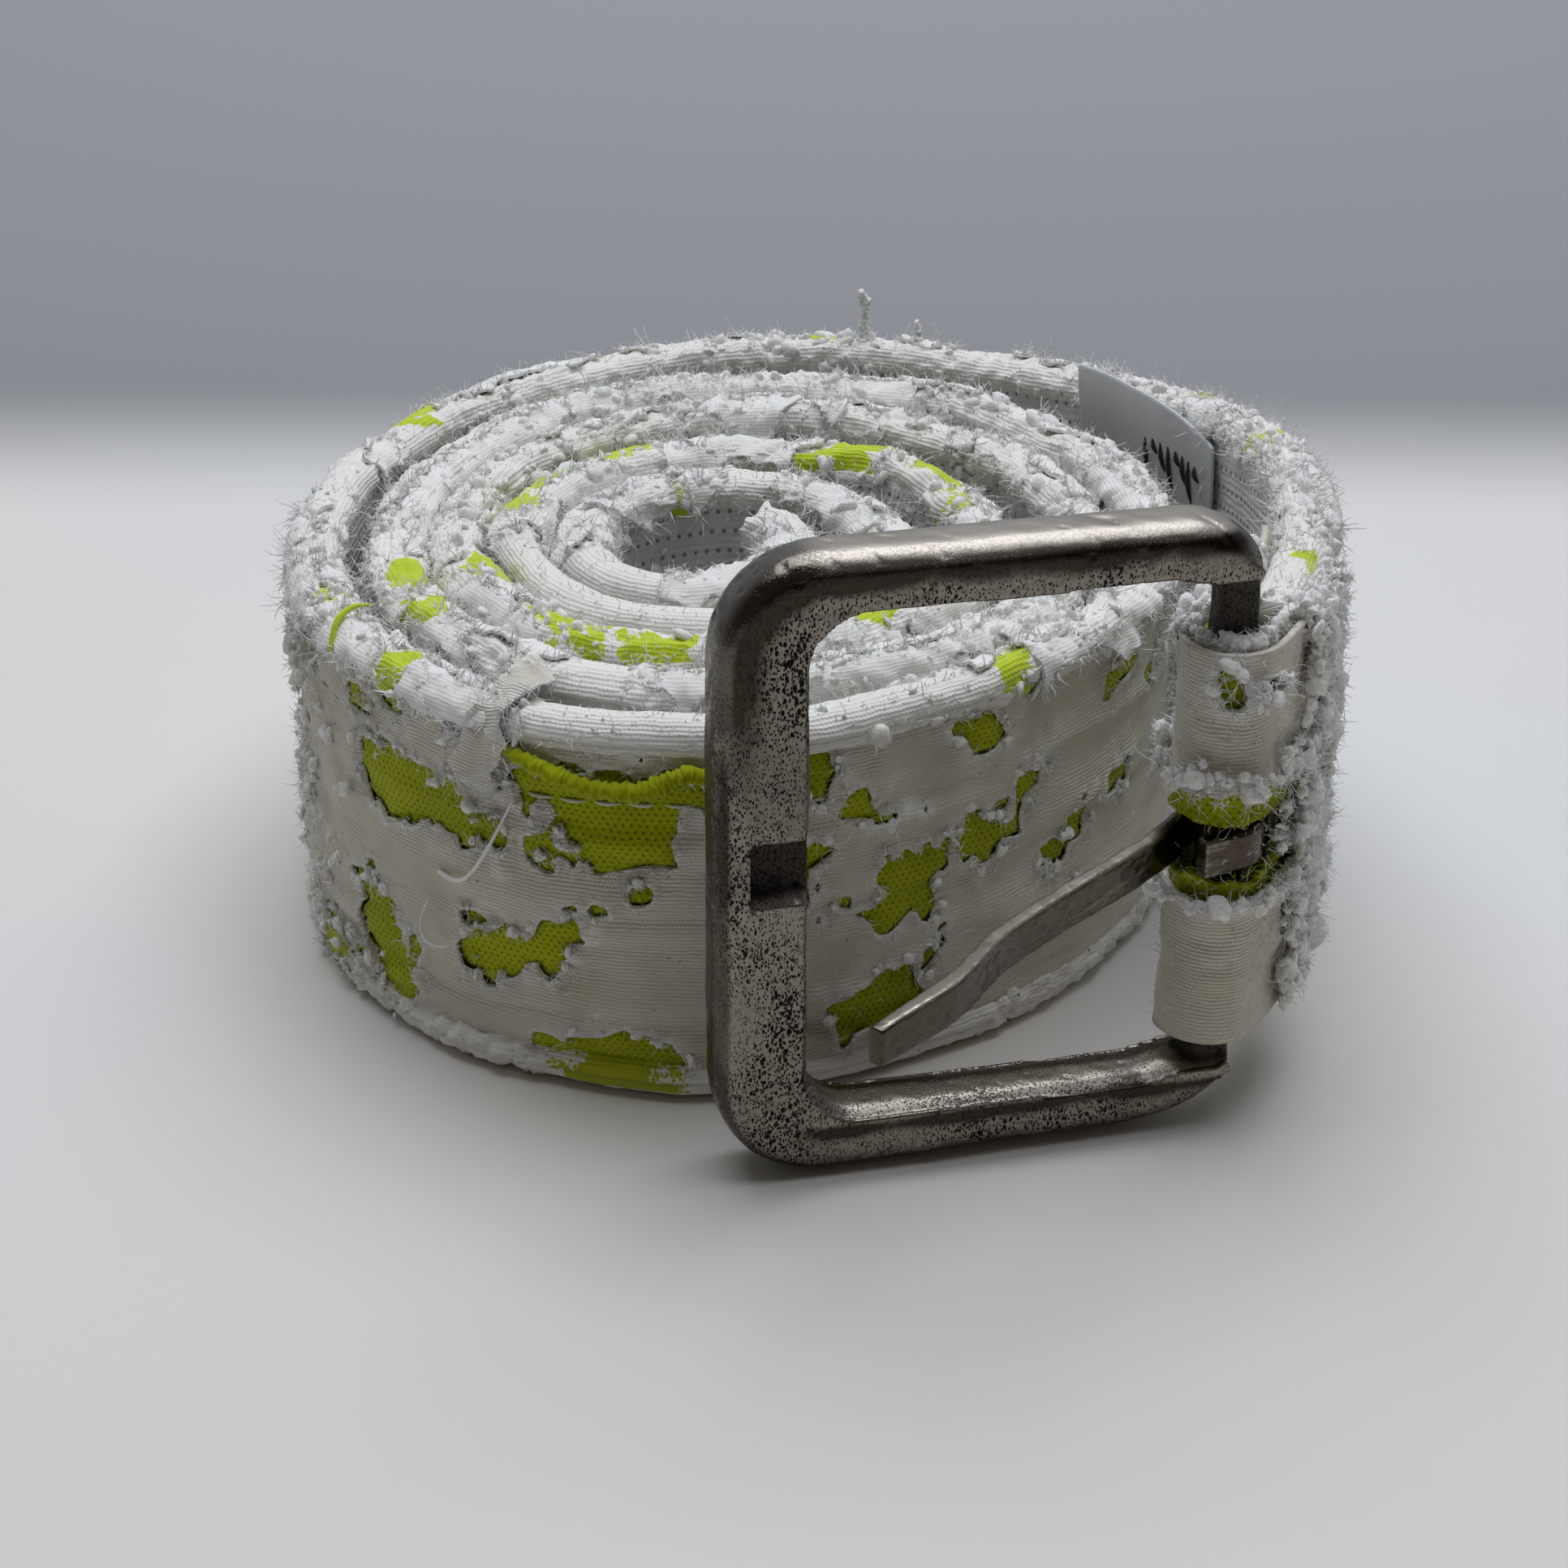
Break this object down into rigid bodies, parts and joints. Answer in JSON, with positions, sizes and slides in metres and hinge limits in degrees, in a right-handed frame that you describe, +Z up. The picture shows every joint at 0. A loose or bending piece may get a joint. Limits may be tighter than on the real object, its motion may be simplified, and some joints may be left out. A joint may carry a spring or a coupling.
{
  "type": "waist belt",
  "caption": "Waist belt of distressed, layered knitted jersey, rolled up and standing on its edge, with a hinged rectangular cast buckle frame and a curled swinging prong on its outer end.",
  "frame": {"origin": "under the middle of the whole object, on the surface that it stands on", "axes": "+Z up along the axis of the rolled coil, -Y towards the buckle and the swung-out prong, +X towards the heel bar side of the buckle"},
  "size_m": [0.0912, 0.1252, 0.0537],
  "materials": {
    "cast_buckle": "antiqued silver casting, pitted, dark patina in the hollows",
    "prong_strip": "antiqued silver strip, worn bright on its edges",
    "white_jersey": "bleached knitted jersey, torn and frayed",
    "green_jersey": "bright yellow-green knitted jersey",
    "core_wadding": "plain woven stiffener, hidden",
    "grey_lining": "grey-white knitted tape with rows of small needle holes",
    "sewing_thread": "off-white sewing thread",
    "satin_label": "smooth grey-white satin tape"
  },
  "bodies": {
    "belt": {"outer_cover": "white_jersey", "green_underlayer": "green_jersey", "belt_core": "core_wadding", "lining": "grey_lining", "top_edge_roll": "white_jersey", "bottom_edge_roll": "white_jersey", "top_edge_stitching": "sewing_thread", "bottom_edge_stitching": "sewing_thread", "buckle_loop": "white_jersey", "loop_underlay": "green_jersey", "fold_stitching_outer": "sewing_thread", "fold_stitching_inner": "sewing_thread", "label": "satin_label", "label_stitching_left": "sewing_thread", "label_stitching_right": "sewing_thread"},
    "frame": {"buckle_frame": "cast_buckle"},
    "prong": {"prong": "prong_strip"}
  },
  "joints": [
    {"name": "frame_hinge", "type": "hinge", "parent": "belt", "child": "frame", "pos_m": [0.03319, -0.0297, 0.027], "axis": [0, 0, 1], "range_deg": [-6, 75]},
    {"name": "prong_hinge", "type": "hinge", "parent": "frame", "child": "prong", "pos_m": [0.03319, -0.0297, 0.0255], "axis": [0, 0, 1], "range_deg": [-28, 50]}
  ]
}
